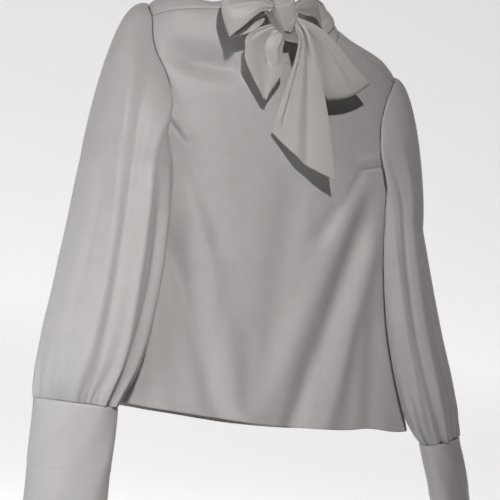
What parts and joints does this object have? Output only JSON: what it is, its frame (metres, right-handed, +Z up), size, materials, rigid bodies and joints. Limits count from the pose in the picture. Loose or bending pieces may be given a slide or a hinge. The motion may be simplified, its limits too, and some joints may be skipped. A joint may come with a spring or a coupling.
{
  "type": "bow blouse",
  "caption": "Long-sleeved crepe blouse with a stand collar, tied neck bow, gathered sleeves and deep cuffs; hangs filled out, hollow, and open at neck, hem and cuffs.",
  "frame": {"origin": "middle of the neck opening, level with the inner ends of the shoulder ridge, where a neck holds the blouse", "axes": "+Z up through the neck opening, the front faces -Y, +X to the right as seen facing the front"},
  "size_m": [0.6478, 0.1718, 0.7131],
  "materials": {
    "crepe": "satin-backed crepe, matt side out, soft sheen",
    "tie_crepe": "satin-backed crepe, folded double",
    "button": "polished",
    "thread": "twisted thread"
  },
  "bodies": {
    "root": {"front": "crepe", "back_left": "crepe", "back_right": "crepe", "sleeve_left": "crepe", "sleeve_right": "crepe", "cuff_left": "crepe", "cuff_right": "crepe", "collar": "crepe", "tie_neck": "tie_crepe", "tie_knot": "tie_crepe", "tie_loop_left": "tie_crepe", "tie_loop_right": "tie_crepe", "tie_tail_left": "tie_crepe", "tie_tail_right": "tie_crepe", "button_neck": "button", "button_cuff_left_1": "button", "button_cuff_left_2": "button", "button_cuff_left_3": "button", "button_cuff_right_1": "button", "button_cuff_right_2": "button", "button_cuff_right_3": "button", "loop_neck": "thread"}
  },
  "joints": []
}
